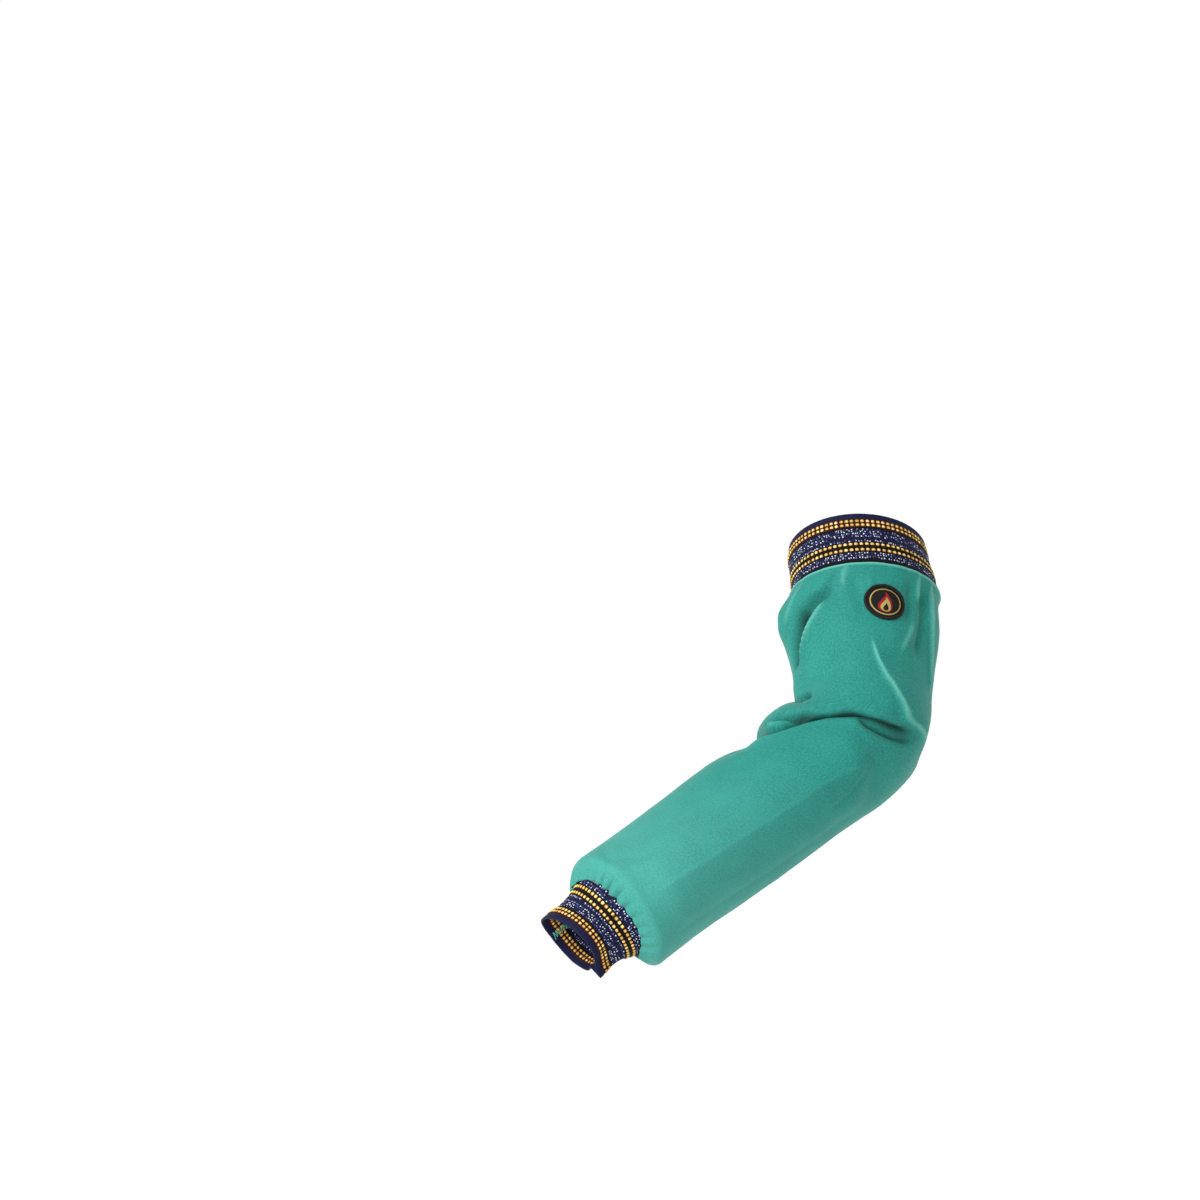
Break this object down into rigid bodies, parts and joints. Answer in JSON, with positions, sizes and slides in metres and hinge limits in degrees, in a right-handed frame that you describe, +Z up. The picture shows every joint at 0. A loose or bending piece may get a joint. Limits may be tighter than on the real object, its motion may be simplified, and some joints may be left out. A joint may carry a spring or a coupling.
{
  "type": "welding sleeve",
  "caption": "Welding sleeve worn on a bent arm: a tube of heavy cotton gathered into striped elastic bands at the upper arm and wrist, with a round patch.",
  "frame": {"origin": "middle of the upper band's free rim, where the arm goes in", "axes": "+Z up as worn, the upper arm hanging down and forward to the elbow; -Y towards the side that the patch faces; -X towards the wrist"},
  "size_m": [0.348, 0.3263, 0.3765],
  "materials": {
    "cloth": "green sateen-woven cotton with a soft nap",
    "elastic": "navy ribbed elastic webbing with gold and pale blue flecked stripes",
    "patch": "black embroidered patch with a gold ring"
  },
  "bodies": {
    "root": {"sleeve_tube": "cloth", "upper_band": "elastic", "wrist_band": "elastic", "round_patch": "patch"}
  },
  "joints": []
}
